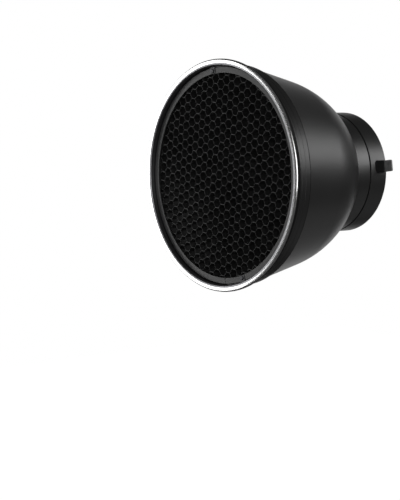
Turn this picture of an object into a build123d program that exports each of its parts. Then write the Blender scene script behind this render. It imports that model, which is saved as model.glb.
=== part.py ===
from build123d import *
from math import acos, atan2, cos, degrees, hypot, radians, sin, sqrt, tan
import os

# A seven inch studio reflector with its removable honeycomb grid.
# The optical axis is Y. Light leaves towards -Y, and the three-lug mount ring is at the +Y end.
# The origin is on the axis, in the plane of the mount ring's rear face. Depths are measured
# from the front of the hemmed rim towards the rear.

# ---- driving dimensions, mm ----
overall_depth = 137.0

# spun bowl
wall = 1.2
rim_radius = 90.0
hem_gap = 0.2
hem_slit = 0.7
hem_round = 1.0
mouth_radius = 86.2
seat_depth = 17.2
step_run = 1.2
step_radius = 85.0
bowl_radius = 86.3
bowl_centre_radius = -8.7
bowl_centre_depth = 41.0
neck_radius = 49.0
joint_depth = 118.7
flange_bore = 41.5
neck_fillet = 1.5
edge_round = 0.3

# mount ring
ring_wall = 1.4
ring_radius = 49.2
lip_bore = 38.0
groove_width = 0.9
groove_radius = 48.2
lug_count = 3
lug_angle = 8.0
lug_radius = 58.0
lug_width = 9.2
lug_back_depth = 135.2
lug_round = 1.2
window_width = 9.8
window_length = 10.7
window_round = 2.6

# rivets between the bowl's flange and the mount ring
rivet_count = 6
rivet_angle = 38.0
rivet_circle = 44.6
rivet_shank = 1.25
rivet_head = 2.2
rivet_head_height = 1.0
rivet_head_round = 0.7
hole_clearance = 0.05

# grid ring, a channel rolled into a hoop
grid_front = 4.0
grid_depth = 13.0
grid_radius = 84.0
grid_opening = 79.4
channel_wall = 1.0
seam_angle = 274.5
seam_gap = 0.4
seam_notch_width = 1.2
seam_notch_depth = 0.8
cut_over = 1.0

# honeycomb core
cell = 7.36
foil = 0.25
bond_line = 0.02
core_play = 0.2
core_radius = 82.7
core_turn = -5.5
ribbon_count = 44
ribbon_overrun = 25.5

# spring clips
clip_angles = {"upper": 98.5, "lower": 289.0}
clip_sheet = 0.35
clip_gap = 0.1
clip_root = 1.9
clip_sweep = 13.5
clip_lift = 0.4
clip_bow = 0.24
clip_back = 14.0
leaf_front = 4.6
tab_width = 5.6
tab_inner = 80.0
clip_rivet_circle = 81.4
clip_rivet_shank = 1.0
clip_rivet_head = 1.6
clip_rivet_height = 0.5


def station(depth):
    """Y of a depth behind the front of the rim."""
    return depth - overall_depth


def polar(radius, angle):
    """Point at a radius and an angle from +X towards +Z."""
    return (radius * cos(radians(angle)), radius * sin(radians(angle)))


def across(depth, turn=0):
    """Plane across the axis, local x turned from +X towards +Z; it extrudes to the front."""
    x, z = polar(1, turn)
    return Plane(origin=(0, station(depth), 0), x_dir=(x, 0, z), z_dir=(0, -1, 0))


def radial_plane(angle, radius):
    """Plane square to the radius at an angle, local x along +Y."""
    x, z = polar(radius, angle)
    return Plane(origin=(x, 0, z), x_dir=(0, 1, 0), z_dir=(x, 0, z))


def lug_plane(angle, depth):
    """Plane across the axis, local x along the radius at an angle; it extrudes to the rear."""
    x, z = polar(1, angle)
    return Plane(origin=(0, station(depth), 0), x_dir=(x, 0, z), z_dir=(0, 1, 0))


os.makedirs("parts", exist_ok=True)


# ---- bowl, neck and hemmed rim, spun from one sheet ----
hem_depth = 2 * wall + hem_gap


def spun_wall(inset, neck_end):
    """Line of the wall, an inset under its outer skin, from the mouth to the end of the neck."""
    centre = (bowl_centre_radius, station(bowl_centre_depth))
    radius = bowl_radius - inset
    mouth = (mouth_radius - inset, station(hem_depth / 2))
    step_front = (mouth_radius - inset, station(seat_depth))
    step_back = (step_radius - inset, station(seat_depth + step_run))
    run = step_back[0] - centre[0]
    rise = step_back[1] - centre[1]
    first = degrees(acos(radius / hypot(run, rise)) + atan2(rise, run))
    last = degrees(acos((neck_radius - inset - centre[0]) / radius))
    bowl = CenterArc(centre, radius, first, last - first)
    Polyline(mouth, step_front, step_back, bowl @ 0)
    neck = Line(bowl @ 1, (neck_radius - inset, station(neck_end)))
    return mouth, neck @ 1


with BuildPart() as dish_shell:
    with BuildSketch() as wall_section:
        with BuildLine():
            outer_mouth, outer_end = spun_wall(0, joint_depth)
            inner_mouth, inner_end = spun_wall(wall, joint_depth - wall)
            Line(outer_mouth, inner_mouth)
            Polyline(
                outer_end,
                (flange_bore, station(joint_depth)),
                (flange_bore, station(joint_depth - wall)),
                inner_end,
            )
        make_face()
    revolve(axis=Axis.Y)
    with BuildSketch() as rim_section:
        with Locations((rim_radius, station(0))):
            Rectangle(rim_radius - mouth_radius + wall, hem_depth, align=(Align.MAX, Align.MIN))
        front_corners = rim_section.vertices().group_by(Axis.Y)[0]
        outer_corners = rim_section.vertices().group_by(Axis.X)[-1]
        fillet(front_corners + outer_corners.sort_by(Axis.Y)[-1:], hem_round)
        with Locations((mouth_radius, station(wall))):
            Rectangle(
                rim_radius - wall - mouth_radius,
                hem_gap,
                align=(Align.MIN, Align.MIN),
                mode=Mode.SUBTRACT,
            )
            Rectangle(hem_slit, hem_depth, align=(Align.MIN, Align.MIN), mode=Mode.SUBTRACT)
    revolve(axis=Axis.Y)
    neck_edges = (
        dish_shell.edges()
        .filter_by(GeomType.CIRCLE)
        .filter_by(lambda edge: abs(edge.radius - neck_radius) < 0.01)
        .sort_by(Axis.Y)
    )
    fillet(neck_edges[0], neck_fillet)
    fillet(neck_edges[-1], edge_round)
    with BuildSketch(across(joint_depth)):
        with PolarLocations(rivet_circle, rivet_count, start_angle=rivet_angle):
            Circle(rivet_shank + hole_clearance)
    extrude(amount=2 * wall, mode=Mode.SUBTRACT)
dish_shell.part.label = "dish_shell"
export_step(dish_shell.part, "parts/dish_shell.step")


# ---- mount ring: collar with a rear lip, and three lugs lanced out of its wall ----
with BuildPart() as mount_ring:
    with BuildSketch() as collar_section:
        with BuildLine():
            Polyline(
                (flange_bore, station(joint_depth)),
                (groove_radius, station(joint_depth)),
                (groove_radius, station(joint_depth + groove_width)),
                (ring_radius, station(joint_depth + groove_width)),
                (ring_radius, 0),
                (lip_bore, 0),
                (lip_bore, -ring_wall),
                (ring_radius - ring_wall, -ring_wall),
                (ring_radius - ring_wall, station(joint_depth + ring_wall)),
                (flange_bore, station(joint_depth + ring_wall)),
                close=True,
            )
        make_face()
    revolve(axis=Axis.Y)
    rim_edges = (
        mount_ring.edges()
        .filter_by(GeomType.CIRCLE)
        .filter_by(lambda edge: abs(edge.radius - ring_radius) < 0.01)
    )
    fillet(rim_edges, edge_round)
    for index in range(lug_count):
        angle = lug_angle + index * 360 / lug_count
        with BuildSketch(radial_plane(angle, ring_radius)) as window:
            with Locations((station(lug_back_depth), 0)):
                Rectangle(window_length, window_width, align=(Align.MAX, Align.CENTER))
            fillet(window.vertices().group_by(Axis.X)[0], window_round)
        extrude(amount=3 * ring_wall, both=True, mode=Mode.SUBTRACT)
        with BuildSketch(lug_plane(angle, lug_back_depth - ring_wall)) as lug:
            with Locations((ring_radius - ring_wall, 0)):
                Rectangle(
                    lug_radius - ring_radius + ring_wall,
                    lug_width,
                    align=(Align.MIN, Align.CENTER),
                )
            fillet(lug.vertices().group_by(Axis.X)[-1], lug_round)
        extrude(amount=ring_wall)
    with BuildSketch(across(joint_depth + ring_wall)):
        with PolarLocations(rivet_circle, rivet_count, start_angle=rivet_angle):
            Circle(rivet_shank + hole_clearance)
    extrude(amount=ring_wall, mode=Mode.SUBTRACT)
mount_ring.part.label = "mount_ring"
export_step(mount_ring.part, "parts/mount_ring.step")


# ---- rivets through the two flanges ----
with BuildPart() as mount_rivets:
    head_front = joint_depth - wall - rivet_head_height
    head_back = joint_depth + ring_wall + rivet_head_height
    with BuildSketch(across(head_back)):
        with PolarLocations(rivet_circle, rivet_count, start_angle=rivet_angle):
            Circle(rivet_shank)
    extrude(amount=head_back - head_front)
    for depth in (head_back, joint_depth - wall):
        with BuildSketch(across(depth)):
            with PolarLocations(rivet_circle, rivet_count, start_angle=rivet_angle):
                Circle(rivet_head)
        extrude(amount=rivet_head_height)
    head_edges = mount_rivets.edges().filter_by(GeomType.CIRCLE).group_by(Axis.Y)
    fillet(head_edges[0] + head_edges[-1], rivet_head_round)
mount_rivets.part.label = "mount_rivets"
export_step(mount_rivets.part, "parts/mount_rivets.step")


# ---- grid ring: rolled channel, butted at the bottom ----
grid_back = grid_front + grid_depth
with BuildPart() as grid_ring:
    with BuildSketch() as channel_section:
        with BuildLine():
            Polyline(
                (grid_opening, station(grid_front)),
                (grid_radius, station(grid_front)),
                (grid_radius, station(grid_back)),
                (grid_opening, station(grid_back)),
                (grid_opening, station(grid_back - channel_wall)),
                (grid_radius - channel_wall, station(grid_back - channel_wall)),
                (grid_radius - channel_wall, station(grid_front + channel_wall)),
                (grid_opening, station(grid_front + channel_wall)),
                close=True,
            )
        make_face()
    revolve(axis=Axis.Y)
    hoop_edges = (
        grid_ring.edges()
        .filter_by(GeomType.CIRCLE)
        .filter_by(lambda edge: abs(edge.radius - grid_radius) < 0.01)
    )
    fillet(hoop_edges, edge_round)
    seam_start = grid_opening - cut_over
    seam_run = grid_radius + cut_over - seam_start
    with BuildSketch(lug_plane(seam_angle, grid_front - cut_over)):
        with Locations((seam_start, 0)):
            Rectangle(seam_run, seam_gap, align=(Align.MIN, Align.CENTER))
    extrude(amount=grid_depth + 2 * cut_over, mode=Mode.SUBTRACT)
    notch_run = seam_notch_depth + cut_over
    with BuildSketch(lug_plane(seam_angle, grid_front - cut_over)):
        with Locations((seam_start, 0)):
            Rectangle(notch_run, seam_notch_width, align=(Align.MIN, Align.CENTER))
    extrude(amount=channel_wall + 2 * cut_over, mode=Mode.SUBTRACT)
    with BuildSketch(across(grid_front + channel_wall)):
        for angle in clip_angles.values():
            with Locations(polar(clip_rivet_circle, angle)):
                Circle(clip_rivet_shank + hole_clearance)
    extrude(amount=channel_wall, mode=Mode.SUBTRACT)
grid_ring.part.label = "grid_ring"
export_step(grid_ring.part, "parts/grid_ring.step")


# ---- honeycomb core: corrugated foil ribbons bonded flat to flat ----
side = cell / sqrt(3)
rise = cell / 4 - (foil + bond_line) / 2
core_front = grid_front + channel_wall + core_play
core_back = grid_back - channel_wall - core_play


def ribbon_face(height, start, lift):
    """Corners of one face of a ribbon, a lift above its middle line, from left to right."""
    stretch = lift * tan(radians(30))
    points = []
    x = start
    level = 1
    while x < core_radius + ribbon_overrun / 2:
        reach = level * stretch
        z = height + level * rise + lift
        points.append((x - reach, z))
        points.append((x + side + reach, z))
        x = x + 1.5 * side
        level = -level
    return points


for index in range(ribbon_count):
    height = (index - (ribbon_count - 1) / 2) * cell / 2
    start = -core_radius - ribbon_overrun + (index % 2) * 1.5 * side
    with BuildPart() as ribbon:
        with BuildSketch(across(core_back, core_turn)) as ribbon_section:
            with BuildLine():
                upper = ribbon_face(height, start, foil / 2)
                lower = ribbon_face(height, start, -foil / 2)
                Polyline(*upper, *reversed(lower), close=True)
            make_face()
            Circle(core_radius, mode=Mode.INTERSECT)
        longest = ribbon_section.sketch.faces().sort_by(SortBy.AREA)[-1]
        extrude(longest, amount=core_back - core_front, dir=(0, -1, 0))
    ribbon.part.label = f"foil_ribbon_{index + 1:02d}"
    export_step(ribbon.part, f"parts/{ribbon.part.label}.step")


# ---- spring clips and their rivets ----
def clip_outline(first, last, lift, bow):
    """Section of a leaf between two angles, its middle a bow and its far end a lift further out."""
    inner = grid_radius + clip_gap
    middle = (first + last) / 2
    near_side = ThreePointArc(
        polar(inner, first),
        polar(inner + bow, middle),
        polar(inner + lift, last),
    )
    far_side = ThreePointArc(
        polar(inner + clip_sheet, first),
        polar(inner + bow + clip_sheet, middle),
        polar(inner + lift + clip_sheet, last),
    )
    Line(near_side @ 0, far_side @ 0)
    Line(near_side @ 1, far_side @ 1)


for name, angle in clip_angles.items():
    tab_back = grid_front - clip_gap
    tab_front = tab_back - clip_sheet
    with BuildPart() as spring_clip:
        with BuildSketch(across(clip_back)):
            with BuildLine():
                clip_outline(angle + clip_root, angle - clip_sweep, clip_lift, clip_bow)
            make_face()
        extrude(amount=clip_back - leaf_front)
        with BuildSketch(across(clip_back)):
            with BuildLine():
                clip_outline(angle + clip_root, angle - clip_root, 0, 0)
            make_face()
        extrude(amount=clip_back - tab_front)
        with BuildSketch(lug_plane(angle, tab_front)):
            with Locations((tab_inner, 0)):
                Rectangle(
                    grid_radius + clip_gap + clip_sheet / 2 - tab_inner,
                    tab_width,
                    align=(Align.MIN, Align.CENTER),
                )
            with Locations((clip_rivet_circle, 0)):
                Circle(clip_rivet_shank + hole_clearance, mode=Mode.SUBTRACT)
        extrude(amount=clip_sheet)
    spring_clip.part.label = f"spring_clip_{name}"
    export_step(spring_clip.part, f"parts/{spring_clip.part.label}.step")

    with BuildPart() as clip_rivet:
        with BuildSketch(across(grid_front + channel_wall)):
            with Locations(polar(clip_rivet_circle, angle)):
                Circle(clip_rivet_shank)
        extrude(amount=channel_wall + clip_gap + clip_sheet + hole_clearance)
        with BuildSketch(across(tab_front - hole_clearance)):
            with Locations(polar(clip_rivet_circle, angle)):
                Circle(clip_rivet_head)
        extrude(amount=clip_rivet_height)
        fillet(clip_rivet.edges().filter_by(GeomType.CIRCLE).sort_by(Axis.Y)[0], edge_round)
    clip_rivet.part.label = f"clip_rivet_{name}"
    export_step(clip_rivet.part, f"parts/{clip_rivet.part.label}.step")
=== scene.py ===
"""Looks of a studio reflector with its honeycomb grid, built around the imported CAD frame.

Metres, +Z up. The optical axis is Y and light leaves towards -Y. Depths run from the front of
the hemmed rim towards the rear, as in the CAD.
"""

import random
from math import acos, atan2, cos, degrees, hypot, pi, radians, sin, sqrt, tan

import bpy
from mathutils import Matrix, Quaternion, Vector


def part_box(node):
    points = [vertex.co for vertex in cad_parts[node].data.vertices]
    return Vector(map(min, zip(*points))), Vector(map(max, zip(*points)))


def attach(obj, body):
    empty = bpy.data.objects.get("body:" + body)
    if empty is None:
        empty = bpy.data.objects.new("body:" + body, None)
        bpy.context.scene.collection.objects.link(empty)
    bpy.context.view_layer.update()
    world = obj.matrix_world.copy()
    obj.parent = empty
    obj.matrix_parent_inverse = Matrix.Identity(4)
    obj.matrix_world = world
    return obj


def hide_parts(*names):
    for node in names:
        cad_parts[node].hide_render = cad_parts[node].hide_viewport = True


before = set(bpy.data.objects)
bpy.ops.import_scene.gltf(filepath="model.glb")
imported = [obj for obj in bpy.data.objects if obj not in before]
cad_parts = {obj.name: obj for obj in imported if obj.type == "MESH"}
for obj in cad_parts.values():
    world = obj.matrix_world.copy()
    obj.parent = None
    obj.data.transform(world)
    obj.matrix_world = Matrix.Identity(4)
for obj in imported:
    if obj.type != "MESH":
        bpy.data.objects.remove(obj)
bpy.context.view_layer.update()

MM = 0.001

# ---- driving dimensions of the spun bowl ----
SHELL_LOW, SHELL_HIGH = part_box("dish_shell")
FRONT = SHELL_LOW.y
RIM_RADIUS = SHELL_HIGH.x
JOINT = SHELL_HIGH.y
WALL = 1.2 * MM
HEM_GAP = 0.2 * MM
HEM_DEPTH = 2 * WALL + HEM_GAP
HEM_SLIT = 0.7 * MM
HEM_ROUND = 1.0 * MM
MOUTH_RADIUS = 86.2 * MM
SEAT_DEPTH = 17.2 * MM
STEP_RUN = 1.2 * MM
STEP_RADIUS = 85.0 * MM
BOWL_RADIUS = 86.3 * MM
BOWL_CENTRE = (-8.7 * MM, 41.0 * MM)
NECK_RADIUS = 49.0 * MM
NECK_ROUND = 0.375 * MM
FLANGE_BORE = 41.5 * MM
EDGE_ROUND = 0.3 * MM
SCRIBE_DEPTHS = (8.6 * MM, 12.4 * MM)
SCRIBE_SIZE = 0.12 * MM
BOWL_STEPS = 64
SHELL_SEGMENTS = 240
SAME_POINT = 1e-6

# ---- where one finish, a painted shade or a painted light ends and the next begins ----
POLISH_RADIUS = 86.9 * MM
# The next two set the darker matte band of painted shade: its depth behind the rim and its width at the
# step's crease.
RIM_SHADE_DEPTH = 6.8 * MM
CREASE_SHADE_WIDTH = 0.5 * MM
# Beyond this radius the collar paint is lightened to grey as painted light on the lugs.
LUG_ROOT = 50.4 * MM

# ---- driving dimensions of the honeycomb ----
CORE_LOW, CORE_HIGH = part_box("foil_ribbon_22")
CORE_FRONT = CORE_LOW.y
CORE_BACK = CORE_HIGH.y
CORE_RADIUS = 82.7 * MM
CORE_TURN = -5.5
CELL = 7.36 * MM
FOIL = 0.25 * MM
BOND_LINE = 0.02 * MM
# The corner's share of a cell side, the flank's slope in degrees, and how many cell sides a line
# starts before the core and ends after it.
CORNER_SHARE = 0.16
FLANK_SLOPE = 60.0
SIDES_BEFORE = 6
SIDES_AFTER = 4
SPARE_COLUMNS = 12
CORE_SHARP = 24.0
# Irregularities of the bonded flats and of the cut front edge.
NUDGE_ALONG = 0.22 * MM
NUDGE_ACROSS = 0.16 * MM
NUDGE_TILT = 0.04
CHIP = 0.12 * MM
NUDGE_SEED = 7
CHIP_SEED = 11
RIBBONS = sorted(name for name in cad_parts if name.startswith("foil_ribbon_"))

# ---- camera ----
CAMERA_PLACE = Vector((0.8250, -0.8328, 0.0599))
CAMERA_AIM = Vector((-0.0323, -0.1269, -0.0612))
CAMERA_ROLL = 0.73
CAMERA_LENS = 100.5
SENSOR = 36.0

# ---- light ----
BACKGROUND_SEEN = 1.0
BACKGROUND_GLOW = 0.06
FLOOR_GLOW = 0.95
# Name, bearing and height in degrees, distance, the box's two sides, power in watts.
LIGHTS = (
    ("key", 54, 18.5, 1.3, (0.8, 0.42), 5.8),
    ("low", 72, -33, 1.5, (1.2, 0.8), 0.55),
    ("backdrop", 136, -4, 1.6, (1.8, 1.6), 7.0),
    ("front_left", -148, -3, 1.49, (0.7, 0.7), 4.5),
    ("front", -62, 5, 1.5, (2.0, 0.7), 10.5),
)


# ---- material helpers ----
class Surface:
    """A Principled material and short ways to add the nodes that drive it."""

    def __init__(self, name, specular=0.5, metallic=0.0):
        self.material = bpy.data.materials.new(name)
        self.material.use_nodes = True
        self.nodes = self.material.node_tree.nodes
        self.links = self.material.node_tree.links
        self.shader = self.nodes["Principled BSDF"]
        self.shader.inputs["Specular IOR Level"].default_value = specular
        self.shader.inputs["Metallic"].default_value = metallic
        self.place = self.add("ShaderNodeTexCoord").outputs["Object"]

    def add(self, kind, settings=None, **inputs):
        """A node with its settings, whose inputs are linked or set."""
        node = self.nodes.new(kind)
        for key, value in (settings or {}).items():
            setattr(node, key, value)
        for key, value in inputs.items():
            socket = node.inputs[int(key[1:])] if key[0] == "_" else node.inputs[key]
            if isinstance(value, bpy.types.NodeSocket):
                self.links.new(value, socket)
            else:
                socket.default_value = value
        return node

    def math(self, operation, *values):
        inputs = {f"_{index}": value for index, value in enumerate(values)}
        return self.add("ShaderNodeMath", {"operation": operation}, **inputs).outputs[0]

    def noise(self, scale, detail=3.0, distortion=0.0):
        """Cloudy noise, `scale` spots to the metre."""
        node = self.add(
            "ShaderNodeTexNoise", Vector=self.place, Scale=scale, Detail=detail, Distortion=distortion
        )
        return node.outputs["Fac"]

    def radius(self):
        """Distance from the optical axis."""
        across = (1.0, 0.0, 1.0)
        flat = self.add("ShaderNodeVectorMath", {"operation": "MULTIPLY"}, _0=self.place, _1=across)
        length = self.add("ShaderNodeVectorMath", {"operation": "LENGTH"}, _0=flat.outputs["Vector"])
        return length.outputs["Value"]

    def rings(self, scale, lean=0.6):
        """Noise that is the same all the way round the optical axis, as a lathe leaves it."""
        split = self.add("ShaderNodeSeparateXYZ", Vector=self.place)
        along = self.math("MULTIPLY_ADD", self.radius(), -lean, split.outputs["Y"])
        node = self.add(
            "ShaderNodeTexNoise", {"noise_dimensions": "1D"}, W=along, Scale=scale, Detail=4.0
        )
        return node.outputs["Fac"]

    def spread(self, factor, low, high):
        """A 0-1 factor spread between two numbers."""
        return self.add("ShaderNodeMapRange", _0=factor, _3=low, _4=high).outputs[0]

    def colours(self, factor, *stops):
        """A colour ramp with stops of (place, grey or colour)."""
        ramp = self.add("ShaderNodeValToRGB", Fac=factor)
        for index, (place, colour) in enumerate(stops):
            elements = ramp.color_ramp.elements
            element = elements[index] if index < 2 else elements.new(place)
            element.position = place
            element.color = colour if isinstance(colour, tuple) else (colour, colour, colour, 1.0)
        return ramp.outputs["Color"]

    def drive(self, colour=None, roughness=None, bumps=()):
        """Link colour, roughness and a chain of bumps, each (height, strength, distance)."""
        if colour is not None:
            self.links.new(colour, self.shader.inputs["Base Color"])
        if roughness is not None:
            self.links.new(roughness, self.shader.inputs["Roughness"])
        normal = None
        for height, strength, distance in bumps:
            bump = self.add("ShaderNodeBump", Height=height, Strength=strength, Distance=distance)
            if normal is not None:
                self.links.new(normal, bump.inputs["Normal"])
            normal = bump.outputs["Normal"]
        if normal is not None:
            self.links.new(normal, self.shader.inputs["Normal"])
        return self.material


# ---- materials ----
def satin_black(name, grey, roughness, spin, lug_light_from=None, specular=0.5):
    """Black paint on spun metal: fine orange peel over faint turning marks.

    A high roughness and a low specular make it matte. Beyond a given radius the paint is lightened to a
    mottled grey: painted light on the bayonet lugs."""
    surface = Surface(name, specular)
    cloud = surface.noise(scale=14.0, detail=4.0)
    turned = surface.rings(scale=900.0)
    peel = surface.noise(scale=1800.0, detail=2.0)
    colour = surface.colours(
        surface.math("MULTIPLY_ADD", turned, 0.4, cloud), (0.35, grey * 0.85), (1.0, grey * 1.25)
    )
    if lug_light_from is not None:
        # Painted light: past the given radius the paint turns a mottled lighter grey.
        lug_light_grey = surface.colours(surface.noise(scale=300.0, detail=4.0), (0.3, 0.12), (0.7, 0.24))
        lug_light_mask = surface.math("GREATER_THAN", surface.radius(), lug_light_from)
        mix = surface.add("ShaderNodeMix", {"data_type": "RGBA"}, _0=lug_light_mask, _6=colour, _7=lug_light_grey)
        colour = mix.outputs[2]
    return surface.drive(
        colour,
        surface.spread(cloud, roughness - 0.05, roughness + 0.07),
        ((turned, spin, 0.0002), (peel, 0.05, 0.0001)),
    )


def turned_metal(name, tint, low, high, spin):
    """Bare aluminium with the fine circular marks of the lathe."""
    surface = Surface(name, metallic=1.0)
    fine = surface.rings(scale=2600.0)
    broad = surface.rings(scale=300.0)
    handled = surface.noise(scale=30.0, detail=3.0)
    dark = tuple(value * 0.86 for value in tint)
    return surface.drive(
        surface.colours(broad, (0.3, dark + (1.0,)), (0.7, tint + (1.0,))),
        surface.spread(surface.math("MULTIPLY", fine, handled), low, high),
        ((fine, spin, 0.0001),),
    )


def anodised(name, grey, roughness):
    """Black anodised rolled strip: soft, slightly cloudy, drawn along the hoop."""
    surface = Surface(name, metallic=0.25)
    cloud = surface.noise(scale=40.0, detail=5.0)
    drawn = surface.rings(scale=1500.0)
    grain = surface.noise(scale=4000.0, detail=2.0)
    return surface.drive(
        surface.colours(cloud, (0.3, grey * 0.8), (0.75, grey * 1.2)),
        surface.spread(drawn, roughness - 0.06, roughness + 0.06),
        ((drawn, 0.12, 0.0001), (grain, 0.08, 0.00005)),
    )


def foil(name, grey):
    """Matte black foil, a little uneven where it was corrugated."""
    surface = Surface(name, specular=0.25)
    patch = surface.noise(scale=160.0, detail=3.0)
    crinkle = surface.noise(scale=900.0, detail=3.0, distortion=0.4)
    return surface.drive(
        surface.colours(patch, (0.3, grey * 0.6), (0.75, grey * 1.5)),
        surface.spread(patch, 0.5, 0.7),
        ((crinkle, 0.25, 0.0002),),
    )


def cut_edge(name, low, high):
    """Cut edge of black foil, where the metal shows through here and there."""
    surface = Surface(name, metallic=0.35)
    patch = surface.noise(scale=420.0, detail=4.0)
    return surface.drive(
        surface.colours(patch, (0.38, low), (0.68, high)),
        surface.spread(patch, 0.35, 0.6),
        ((surface.noise(scale=3000.0, detail=2.0), 0.2, 0.0001),),
    )


def spring_steel(name, tint, roughness):
    """Cold-rolled steel with a faint grain and a few darker stains."""
    surface = Surface(name, metallic=1.0)
    grain = surface.noise(scale=2500.0, detail=4.0, distortion=1.0)
    stain = surface.noise(scale=120.0, detail=3.0)
    dark = tuple(value * 0.6 for value in tint)
    return surface.drive(
        surface.colours(stain, (0.3, dark + (1.0,)), (0.6, tint + (1.0,))),
        surface.spread(grain, roughness - 0.08, roughness + 0.1),
        ((grain, 0.1, 0.00005),),
    )


def paper_white(name, glow):
    """Pale studio floor, lit from below through the paper, with a trace of unevenness."""
    surface = Surface(name, specular=0.1)
    surface.shader.inputs["Emission Color"].default_value = (1.0, 1.0, 1.0, 1.0)
    surface.shader.inputs["Emission Strength"].default_value = glow
    cloud = surface.noise(scale=1.5, detail=2.0)
    return surface.drive(
        surface.colours(cloud, (0.3, 0.93), (0.7, 0.96)), surface.spread(cloud, 0.85, 0.95)
    )


PAINT = satin_black("satin_black_paint", grey=0.014, roughness=0.36, spin=0.05)
# Collar paint, lightened to grey on the lugs as painted light.
COLLAR_PAINT_LUG_LIGHT = satin_black(
    "collar_black_paint_lug_light", grey=0.015, roughness=0.38, spin=0.02, lug_light_from=LUG_ROOT
)
# Painted shade: a darker, duller black for the crevice behind the rim and the crease at the step.
SHADE_PAINTED_BLACK = satin_black("matte_black_painted_shade", grey=0.005, roughness=0.65, spin=0.02, specular=0.15)
RIM_METAL = turned_metal("polished_rim", (0.93, 0.93, 0.93), low=0.08, high=0.32, spin=0.04)
MOUTH_METAL = turned_metal(
    "dull_mouth_aluminium", (0.30, 0.30, 0.31), low=0.35, high=0.55, spin=0.10
)
INNER_METAL = turned_metal(
    "satin_spun_aluminium", (0.78, 0.79, 0.80), low=0.22, high=0.52, spin=0.12
)
RING_METAL = anodised("black_anodised_strip", grey=0.05, roughness=0.42)
FOIL_BLACK = foil("black_foil", grey=0.014)
FOIL_EDGE = cut_edge("foil_cut_edge", low=0.008, high=0.042)
CLIP_STEEL = spring_steel("blackened_spring_steel", (0.07, 0.07, 0.073), roughness=0.34)
RIVET_STEEL = spring_steel("rivet_steel", (0.30, 0.295, 0.29), roughness=0.34)


# ---- mesh helpers ----
def new_piece(name, vertices, faces, zones, materials, sharp=32.0):
    """A smooth-shaded mesh object whose faces take the material of their zone."""
    mesh = bpy.data.meshes.new(name)
    mesh.from_pydata(vertices, [], faces)
    for material in materials:
        mesh.materials.append(material)
    mesh.polygons.foreach_set("material_index", zones)
    mesh.polygons.foreach_set("use_smooth", [True] * len(faces))
    mesh.set_sharp_from_angle(angle=radians(sharp))
    mesh.validate()
    piece = bpy.data.objects.new(name, mesh)
    bpy.context.scene.collection.objects.link(piece)
    return piece


def arc(centre, radius, first, last, steps):
    """Points (r, y) on an arc, in degrees from outwards towards the rear, ends included."""
    turn = [radians(first + (last - first) * step / steps) for step in range(steps + 1)]
    return [(centre[0] + radius * cos(angle), centre[1] + radius * sin(angle)) for angle in turn]


def rounded(before, corner, after, radius, steps=5):
    """Points (r, y) of a round corner between two straight sides."""
    here = Vector(corner)
    side_in = (Vector(before) - here).normalized()
    side_out = (Vector(after) - here).normalized()
    half = side_in.angle(side_out) / 2
    reach = radius / tan(half)
    centre = here + (side_in + side_out).normalized() * radius / sin(half)
    spoke = here + side_in * reach - centre
    turn = (pi - 2 * half) / steps
    if side_in.x * side_out.y - side_in.y * side_out.x > 0:
        turn = -turn
    points = []
    for step in range(steps + 1):
        x = spoke.x * cos(turn * step) - spoke.y * sin(turn * step)
        y = spoke.x * sin(turn * step) + spoke.y * cos(turn * step)
        points.append((centre.x + x, centre.y + y))
    return points


def lathe(name, sides, materials, segments):
    """A closed loop of sides, each (points, zone), turned about the Y axis.

    Each side starts where the one before it ends, so its first point is shared."""
    loop = []
    zones = []
    for points, zone in sides:
        for point in points:
            if loop and hypot(point[0] - loop[-1][0], point[1] - loop[-1][1]) < SAME_POINT:
                continue
            loop.append(point)
            zones.append(zone)
    # The segment that ends at a point takes that point's zone.
    zones = zones[1:] + zones[:1]
    count = len(loop)
    vertices = []
    for segment in range(segments):
        angle = 2 * pi * segment / segments
        vertices += [(r * cos(angle), y, r * sin(angle)) for r, y in loop]
    faces = []
    face_zones = []
    for segment in range(segments):
        here = segment * count
        there = (segment + 1) % segments * count
        for index in range(count):
            after = (index + 1) % count
            faces.append((here + index, here + after, there + after, there + index))
            face_zones.append(zones[index])
    return new_piece(name, vertices, faces, face_zones, materials)


# ---- bowl, neck and hemmed rim ----
def bowl_ends(inset):
    """Angles at which the bowl's arc leaves the step's cone and meets the neck."""
    radius = BOWL_RADIUS - inset
    run = STEP_RADIUS - inset - BOWL_CENTRE[0]
    rise = SEAT_DEPTH + STEP_RUN - BOWL_CENTRE[1]
    first = acos(radius / hypot(run, rise)) + atan2(rise, run)
    last = acos((NECK_RADIUS - inset - BOWL_CENTRE[0]) / radius)
    return degrees(first), degrees(last)


def skin(inset, start, scribed):
    """One side of the sheet from the mouth to the neck's end, as (r, y) points."""
    mouth = MOUTH_RADIUS - inset
    step = STEP_RADIUS - inset
    neck = NECK_RADIUS - inset
    seat = FRONT + SEAT_DEPTH
    centre = (BOWL_CENTRE[0], FRONT + BOWL_CENTRE[1])
    first, last = bowl_ends(inset)
    bowl = arc(centre, BOWL_RADIUS - inset, first, last, BOWL_STEPS)
    points = [(mouth, FRONT + start)]
    for depth in SCRIBE_DEPTHS if scribed else ():
        points.append((mouth, FRONT + depth - SCRIBE_SIZE))
        points.append((mouth - SCRIBE_SIZE, FRONT + depth))
        points.append((mouth, FRONT + depth + SCRIBE_SIZE))
    step_end = (step, seat + STEP_RUN)
    points += rounded(points[0], (mouth, seat), step_end, EDGE_ROUND)
    points += rounded((mouth, seat), step_end, bowl[0], EDGE_ROUND)
    points += bowl[:-1]
    neck_end = (neck, JOINT)
    points += rounded(bowl[-2], bowl[-1], neck_end, NECK_ROUND)
    return points


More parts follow.
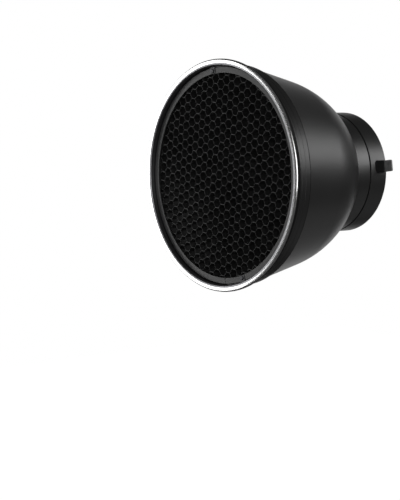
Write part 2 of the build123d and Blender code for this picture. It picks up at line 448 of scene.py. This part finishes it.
def build_shell():
    """The sheet: paint outside, a polished rim front, a dull mouth and bare metal inside.

    The crevice behind the rim and the crease at the step are a darker matte black, as painted shade."""
    paint, painted_shade, bright, dull, bare = range(5)
    rear = FRONT + HEM_DEPTH
    fold = FRONT + WALL
    fold_rear = fold + HEM_GAP
    fold_radius = RIM_RADIUS - WALL
    curl = MOUTH_RADIUS + HEM_SLIT
    mouth = MOUTH_RADIUS - WALL
    corners = [(curl, rear), (RIM_RADIUS, rear), (RIM_RADIUS, FRONT), (mouth, FRONT), (mouth, rear)]
    outer_rear, outer_front, inner_front = (
        rounded(*corners[index : index + 3], HEM_ROUND) for index in range(3)
    )
    inside = skin(WALL, HEM_ROUND, False)
    outside = skin(0, WALL, True)
    inner_neck = NECK_RADIUS - WALL
    flange = JOINT - WALL
    crease = FRONT + SEAT_DEPTH - CREASE_SHADE_WIDTH
    step_rear = FRONT + SEAT_DEPTH + STEP_RUN
    ahead = [point for point in outside if point[1] < crease]
    step = [point for point in outside if crease < point[1] < step_rear]
    behind = [point for point in outside if point[1] > step_rear]
    neck_corner = rounded((NECK_RADIUS, FRONT), (NECK_RADIUS, JOINT), (FLANGE_BORE, JOINT), EDGE_ROUND)
    # The hem's outer side, the skin just behind the rim and the step's crease take the darker black:
    # painted shade.
    sides = [
        ([(curl, rear)] + outer_rear + outer_front[:2], painted_shade),
        (outer_front[2:] + [(POLISH_RADIUS, FRONT)], bright),
        (inner_front + inside[:2], dull),
        (inside[2:] + [(inner_neck, flange), (FLANGE_BORE, flange), (FLANGE_BORE, JOINT)], bare),
        (neck_corner[::-1] + behind[::-1], paint),
        (step[::-1] + [(MOUTH_RADIUS, crease)], painted_shade),
        (ahead[:0:-1] + [(MOUTH_RADIUS, FRONT + RIM_SHADE_DEPTH)], paint),
        (ahead[:1] + [(fold_radius, fold), (fold_radius, fold_rear), (curl, fold_rear)], painted_shade),
    ]
    materials = [PAINT, SHADE_PAINTED_BLACK, RIM_METAL, MOUTH_METAL, INNER_METAL]
    shell = lathe("reflector_shell", sides, materials, SHELL_SEGMENTS)
    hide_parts("dish_shell")
    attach(shell, "reflector")


# ---- honeycomb ----
def bond_nudges():
    """Small seeded displacements of the bonded flats, shared by the two ribbons that meet there."""
    draw = random.Random(NUDGE_SEED)
    columns = range(int(4 * CORE_RADIUS / CELL) + SPARE_COLUMNS)
    return {
        (bond, column): (
            draw.gauss(0, NUDGE_ALONG),
            draw.gauss(0, NUDGE_ACROSS),
            draw.gauss(0, NUDGE_TILT),
        )
        for bond in range(-1, len(RIBBONS))
        for column in columns
    }


def ribbon_line(index, nudges):
    """Middle line of one corrugated ribbon, as (x, z) points across the core."""
    side = CELL / sqrt(3)
    pitch = 1.5 * side
    rise = CELL / 4 - (FOIL + BOND_LINE) / 2
    height = (index - (len(RIBBONS) - 1) / 2) * CELL / 2
    corner = CORNER_SHARE * side
    points = []
    column = index % 2
    x = -CORE_RADIUS - SIDES_BEFORE * side + column * pitch + side / 2
    level = 1
    while x < CORE_RADIUS + SIDES_AFTER * side:
        bond = index if level > 0 else index - 1
        dx, dz, tilt = nudges[bond, column]
        z = height + level * rise + dz
        fall = level * corner * tan(radians(FLANK_SLOPE)) / 2
        for place, drop in ((-1, fall), (-1, 0), (1, 0), (1, fall)):
            reach = place * (side / 2 + (corner / 2 if drop else -corner / 2))
            points.append((x + dx + reach, z - drop + tilt * reach))
        x += pitch
        column += 1
        level = -level
    return points


def clipped(points):
    """The part of a line that lies inside the core's round outline."""
    kept = []
    for (ax, az), (bx, bz) in zip(points, points[1:]):
        inside_a = hypot(ax, az) < CORE_RADIUS
        inside_b = hypot(bx, bz) < CORE_RADIUS
        if inside_a and not kept:
            kept.append((ax, az))
        if inside_b != inside_a:
            run, rise = bx - ax, bz - az
            along = ax * run + az * rise
            length = run * run + rise * rise
            root = sqrt(max(along * along - length * (ax * ax + az * az - CORE_RADIUS**2), 0.0))
            t = (-along + (root if inside_a else -root)) / length
            kept.append((ax + t * run, az + t * rise))
        if inside_b:
            kept.append((bx, bz))
    return kept


def mitres(points):
    """Unit offset of each point to the left of the line, longer at corners."""
    result = []
    for index, point in enumerate(points):
        before = Vector(points[max(index - 1, 0)])
        after = Vector(points[min(index + 1, len(points) - 1)])
        here = Vector(point)
        first = (here - before).normalized() if index else (after - here).normalized()
        second = (after - here).normalized() if index < len(points) - 1 else first
        middle = (first + second).normalized()
        left = Vector((-middle.y, middle.x))
        result.append(left / max(left.dot(Vector((-first.y, first.x))), 0.5))
    return result


def build_honeycomb():
    """All the foil ribbons as one mesh, each a closed corrugated strip with cut edges."""
    walls, cut = 0, 1
    nudges = bond_nudges()
    draw = random.Random(CHIP_SEED)
    turn = radians(CORE_TURN)
    vertices = []
    faces = []
    zones = []
    for index in range(len(RIBBONS)):
        line = clipped(ribbon_line(index, nudges))
        start = len(vertices)
        for (x, z), offset in zip(line, mitres(line)):
            chip = draw.uniform(0, CHIP)
            for lift in (FOIL / 2, -FOIL / 2):
                u = x + offset.x * lift
                w = z + offset.y * lift
                px = u * cos(turn) - w * sin(turn)
                pz = u * sin(turn) + w * cos(turn)
                vertices += [(px, CORE_FRONT + chip, pz), (px, CORE_BACK, pz)]
        for step in range(len(line) - 1):
            a = start + 4 * step
            b = a + 4
            faces += [(a, a + 1, b + 1, b), (a + 2, b + 2, b + 3, a + 3)]
            faces += [(a, b, b + 2, a + 2), (a + 1, a + 3, b + 3, b + 1)]
            zones += [walls, walls, cut, cut]
        last = start + 4 * (len(line) - 1)
        faces += [(start, start + 2, start + 3, start + 1), (last, last + 1, last + 3, last + 2)]
        zones += [walls, walls]
    core = new_piece("honeycomb_core", vertices, faces, zones, [FOIL_BLACK, FOIL_EDGE], CORE_SHARP)
    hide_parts(*RIBBONS)
    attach(core, "grid")


# ---- CAD pieces that keep their shape ----
def dress_cad_pieces():
    """Better materials on the CAD nodes that show as they are."""
    finishes = {
        "mount_ring": COLLAR_PAINT_LUG_LIGHT,
        "mount_rivets": RIVET_STEEL,
        "grid_ring": RING_METAL,
        "spring_clip_upper": CLIP_STEEL,
        "spring_clip_lower": CLIP_STEEL,
        "clip_rivet_upper": CLIP_STEEL,
        "clip_rivet_lower": CLIP_STEEL,
    }
    for name, material in finishes.items():
        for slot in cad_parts[name].material_slots:
            slot.material = material


# ---- studio ----
def soft_light(name, bearing, height, distance, size, power):
    """A rectangular soft box aimed at the object. Bearing 0 is +X and 90 is +Y, in degrees."""
    middle = (SHELL_LOW + SHELL_HIGH) / 2
    flat = cos(radians(height))
    towards = Vector((flat * cos(radians(bearing)), flat * sin(radians(bearing)), sin(radians(height))))
    data = bpy.data.lights.new(name, "AREA")
    data.shape = "RECTANGLE"
    data.size, data.size_y = size
    data.energy = power
    light = bpy.data.objects.new(name, data)
    light.location = middle + towards * distance
    light.rotation_euler = (-towards).to_track_quat("-Z", "Y").to_euler()
    bpy.context.scene.collection.objects.link(light)


def build_world():
    """White to the camera, while it lights the object only faintly and evenly."""
    world = bpy.data.worlds.new("studio")
    world.use_nodes = True
    bpy.context.scene.world = world
    nodes = world.node_tree.nodes
    links = world.node_tree.links
    nodes["Background"].inputs["Color"].default_value = (1.0, 1.0, 1.0, 1.0)
    nodes["Background"].inputs["Strength"].default_value = BACKGROUND_SEEN
    glow = nodes.new("ShaderNodeBackground")
    glow.inputs["Color"].default_value = (1.0, 1.0, 1.0, 1.0)
    glow.inputs["Strength"].default_value = BACKGROUND_GLOW
    sight = nodes.new("ShaderNodeLightPath")
    mix = nodes.new("ShaderNodeMixShader")
    links.new(sight.outputs["Is Camera Ray"], mix.inputs[0])
    links.new(glow.outputs[0], mix.inputs[1])
    links.new(nodes["Background"].outputs[0], mix.inputs[2])
    links.new(mix.outputs[0], nodes["World Output"].inputs["Surface"])


def build_floor():
    """A wide pale floor, low enough for cameras that look up at the object.

    It is seen, but gives the object no bounce light and no reflection."""
    half = 6.0
    drop = 1.5
    steps = 12
    ticks = [-half + 2 * half * step / steps for step in range(steps + 1)]
    vertices = [(x, y, -drop) for x in ticks for y in ticks]
    row = steps + 1
    faces = [
        (a * row + b, (a + 1) * row + b, (a + 1) * row + b + 1, a * row + b + 1)
        for a in range(steps)
        for b in range(steps)
    ]
    paper = paper_white("paper_floor", FLOOR_GLOW)
    floor = new_piece("floor", vertices, faces, [0] * len(faces), [paper])
    floor.visible_diffuse = False
    floor.visible_glossy = False


def build_camera():
    """The photograph's view, with no shift."""
    data = bpy.data.cameras.new("camera")
    data.lens = CAMERA_LENS
    data.sensor_width = SENSOR
    data.clip_end = 50.0
    camera = bpy.data.objects.new("camera", data)
    camera.location = CAMERA_PLACE
    camera.rotation_mode = "QUATERNION"
    level = (CAMERA_AIM - CAMERA_PLACE).to_track_quat("-Z", "Y")
    camera.rotation_quaternion = level @ Quaternion((0, 0, 1), radians(CAMERA_ROLL))
    bpy.context.scene.collection.objects.link(camera)
    bpy.context.scene.camera = camera


build_camera()
build_shell()
build_honeycomb()
dress_cad_pieces()
build_floor()
build_world()
for box in LIGHTS:
    soft_light(*box)
bpy.context.scene.view_settings.view_transform = "Standard"
